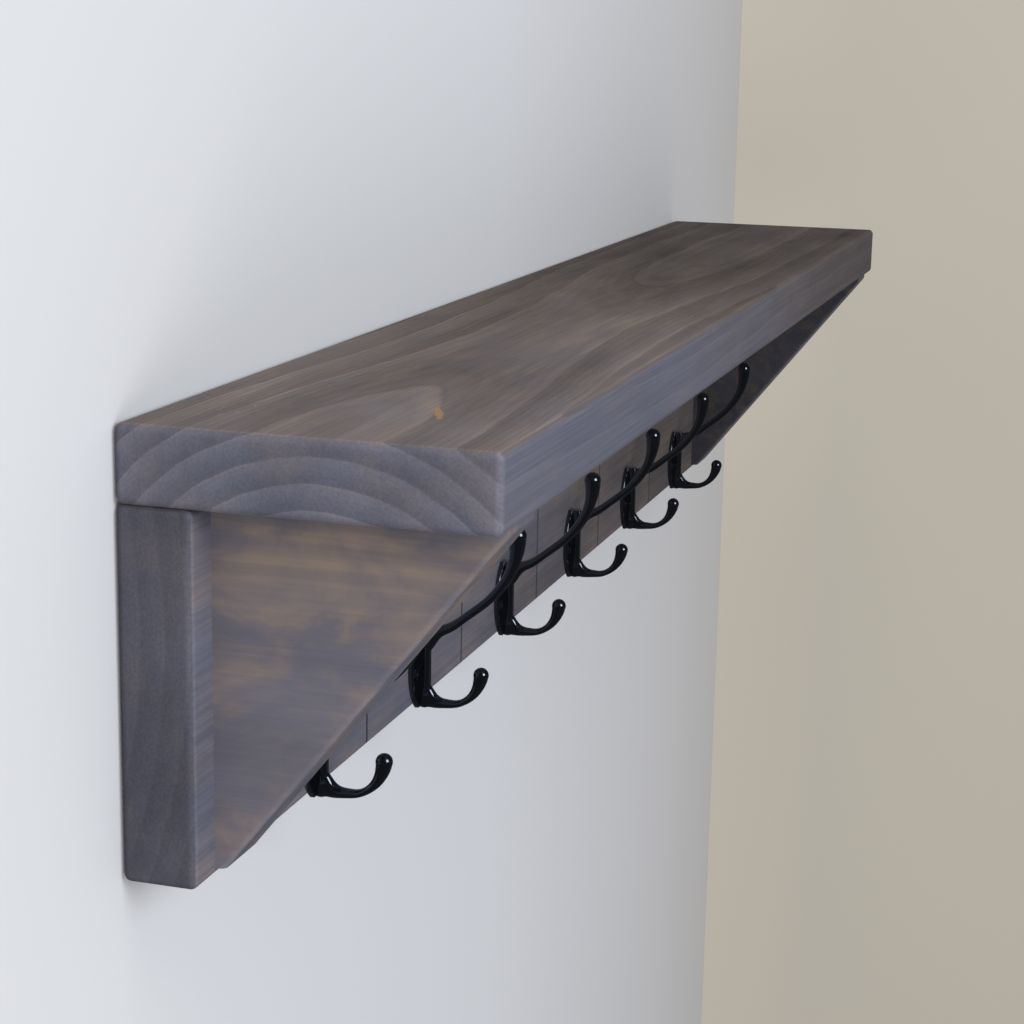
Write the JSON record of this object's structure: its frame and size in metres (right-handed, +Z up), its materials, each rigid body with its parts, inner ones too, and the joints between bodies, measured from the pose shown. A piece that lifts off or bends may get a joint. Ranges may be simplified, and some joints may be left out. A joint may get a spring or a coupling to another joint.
{
  "type": "wall coat rack with shelf",
  "caption": "Wall-hung coat rack: thick stained pine shelf on a back board with triangular end brackets and a row of black double-prong hooks.",
  "frame": {"origin": "on the wall plane, midway along the rack, level with the two wall screws it hangs on", "axes": "+X along the rack to the right as seen from the room, +Y into the wall, +Z up"},
  "size_m": [1.125, 0.186, 0.224],
  "materials": {
    "stained_pine": "weathered grey-brown stain under a satin clear coat",
    "black_enamel": "gloss black enamel on cast zinc",
    "black_screw": "satin black",
    "dowel_beech": "bare beech",
    "zinc_steel": "bright zinc plate"
  },
  "bodies": {
    "root": {"shelf_board": "stained_pine", "back_board": "stained_pine", "left_bracket": "stained_pine", "right_bracket": "stained_pine", "coat_hook_1": "black_enamel", "coat_hook_2": "black_enamel", "coat_hook_3": "black_enamel", "coat_hook_4": "black_enamel", "coat_hook_5": "black_enamel", "coat_hook_6": "black_enamel", "hook_screws_1": "black_screw", "hook_screws_2": "black_screw", "hook_screws_3": "black_screw", "hook_screws_4": "black_screw", "hook_screws_5": "black_screw", "hook_screws_6": "black_screw", "shelf_dowels": "dowel_beech", "left_bracket_dowels": "dowel_beech", "right_bracket_dowels": "dowel_beech", "left_bracket_screws": "zinc_steel", "left_keyhole_plate": "zinc_steel", "left_keyhole_screws": "zinc_steel", "right_bracket_screws": "zinc_steel", "right_keyhole_plate": "zinc_steel", "right_keyhole_screws": "zinc_steel"}
  },
  "joints": []
}
